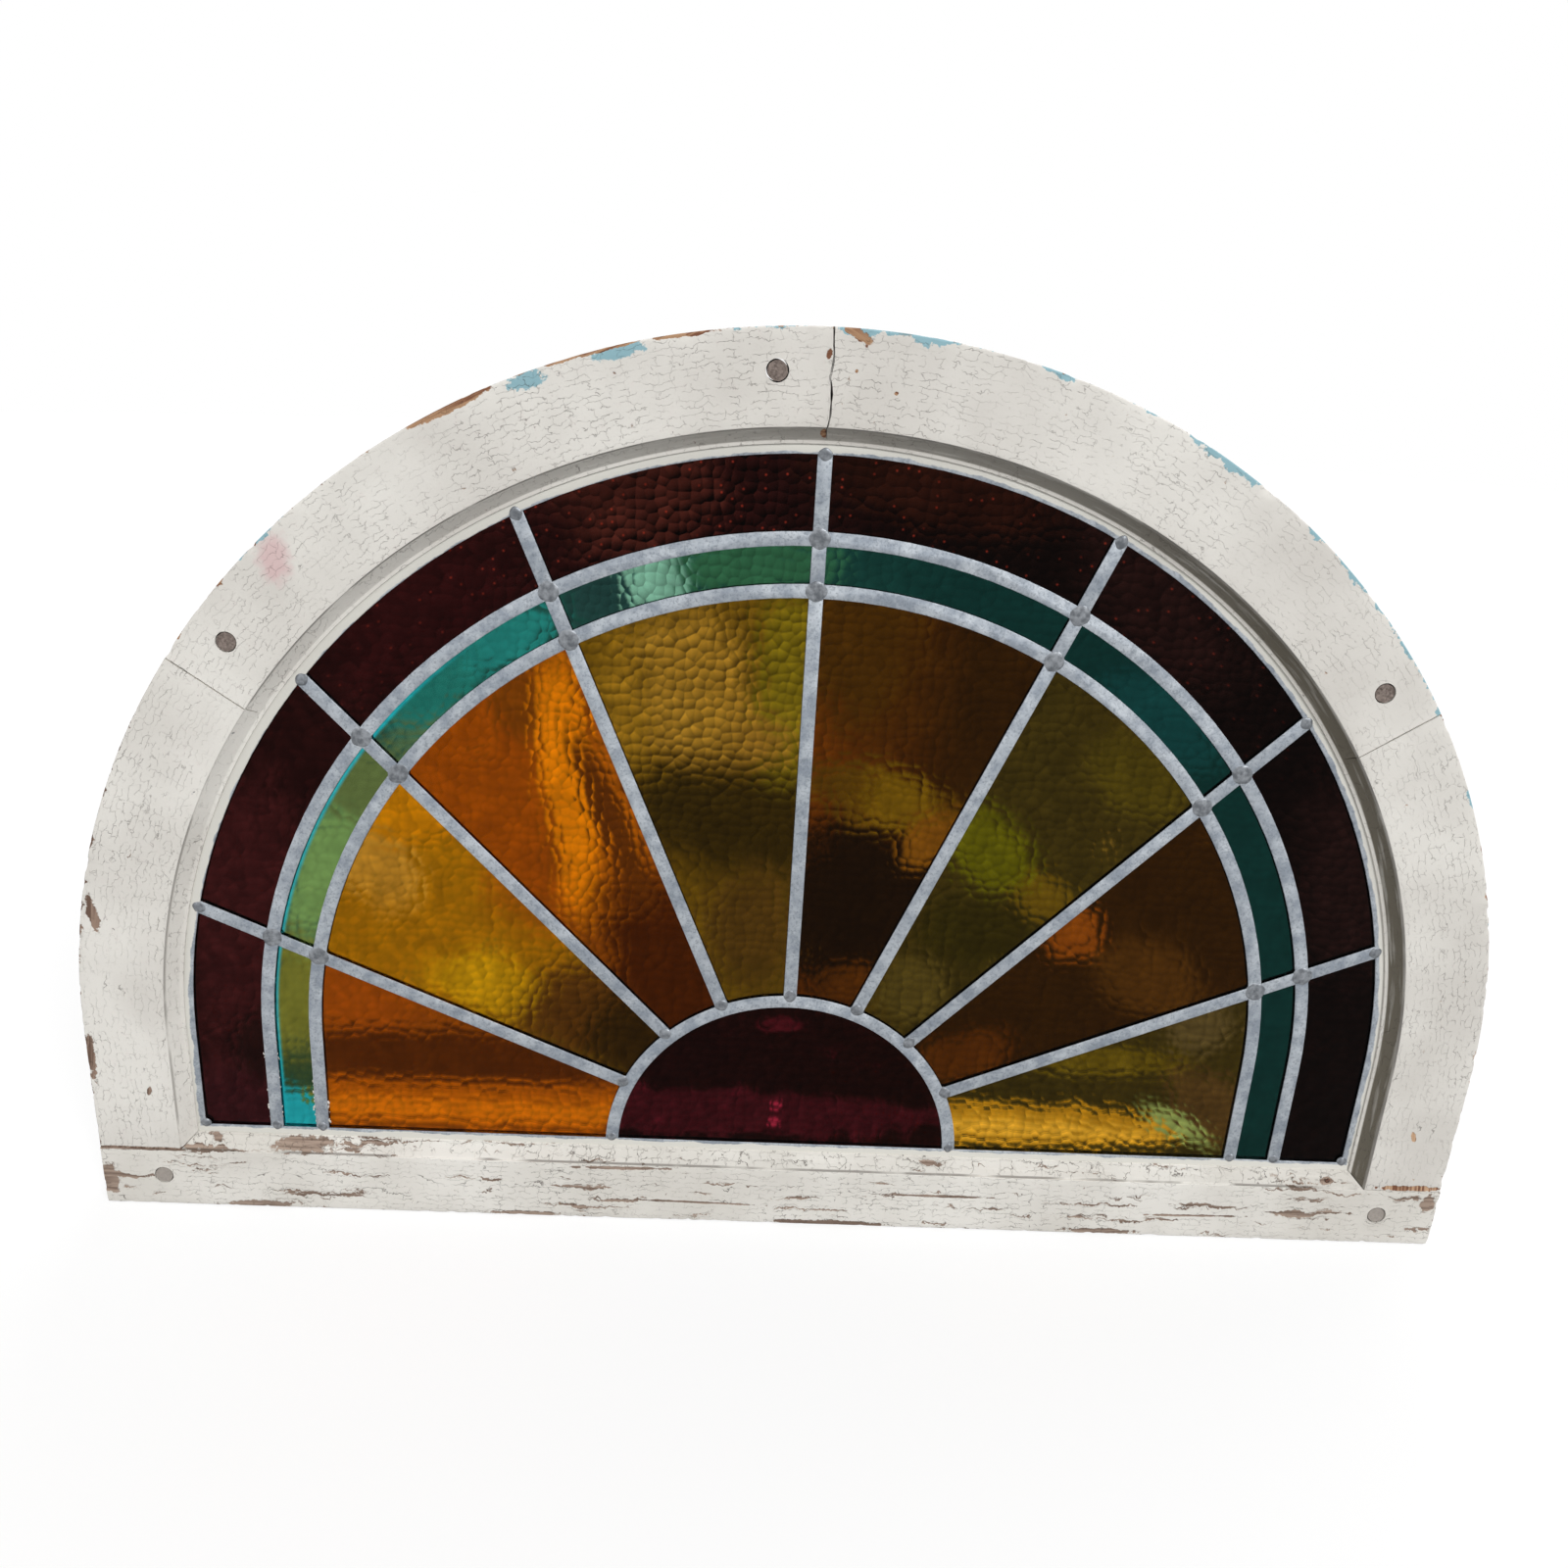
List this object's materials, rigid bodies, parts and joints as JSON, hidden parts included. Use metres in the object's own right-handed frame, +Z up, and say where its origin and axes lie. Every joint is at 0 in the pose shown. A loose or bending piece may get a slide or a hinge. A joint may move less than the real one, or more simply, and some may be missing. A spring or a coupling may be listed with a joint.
{
  "type": "sunburst fanlight",
  "caption": "Arched wooden window sash with a fixed leaded panel: amber sectors fan out from a half-round sun pane, bordered by rings of teal and ruby glass.",
  "frame": {"origin": "under the middle of the bottom rail, at its lower face, halfway through the thickness", "axes": "+Z up, +X along the bottom rail to the right as seen from the moulded face, +Y from the moulded face to the puttied back"},
  "size_m": [1.016, 0.035, 0.653],
  "materials": {
    "painted_softwood": "old crackled white paint over softwood",
    "peg_wood": "weathered bare end grain",
    "painted_putty": "linseed putty with worn white paint",
    "came_lead": "oxidised lead",
    "solder": "dull tarnished solder",
    "sun_glass": "hammered deep ruby cathedral glass",
    "orange_glass": "hammered orange amber cathedral glass",
    "gold_glass": "hammered golden cathedral glass",
    "teal_glass": "hammered teal cathedral glass",
    "ruby_glass": "hammered dark ruby cathedral glass"
  },
  "bodies": {
    "root": {"bottom_rail": "painted_softwood", "left_lower_rim": "painted_softwood", "left_upper_rim": "painted_softwood", "right_upper_rim": "painted_softwood", "right_lower_rim": "painted_softwood", "joint_pegs": "peg_wood", "back_putty": "painted_putty", "sun_lead": "came_lead", "inner_ring_lead": "came_lead", "outer_ring_lead": "came_lead", "edge_lead": "came_lead", "sill_lead": "came_lead", "spoke_lead_1": "came_lead", "spoke_lead_2": "came_lead", "spoke_lead_3": "came_lead", "spoke_lead_4": "came_lead", "spoke_lead_5": "came_lead", "spoke_lead_6": "came_lead", "spoke_lead_7": "came_lead", "solder_joints": "solder", "sun_pane": "sun_glass", "amber_pane_1": "orange_glass", "teal_pane_1": "teal_glass", "ruby_pane_1": "ruby_glass", "amber_pane_2": "gold_glass", "teal_pane_2": "teal_glass", "ruby_pane_2": "ruby_glass", "amber_pane_3": "orange_glass", "teal_pane_3": "teal_glass", "ruby_pane_3": "ruby_glass", "amber_pane_4": "gold_glass", "teal_pane_4": "teal_glass", "ruby_pane_4": "ruby_glass", "amber_pane_5": "orange_glass", "teal_pane_5": "teal_glass", "ruby_pane_5": "ruby_glass", "amber_pane_6": "gold_glass", "teal_pane_6": "teal_glass", "ruby_pane_6": "ruby_glass", "amber_pane_7": "orange_glass", "teal_pane_7": "teal_glass", "ruby_pane_7": "ruby_glass", "amber_pane_8": "gold_glass", "teal_pane_8": "teal_glass", "ruby_pane_8": "ruby_glass"}
  },
  "joints": []
}
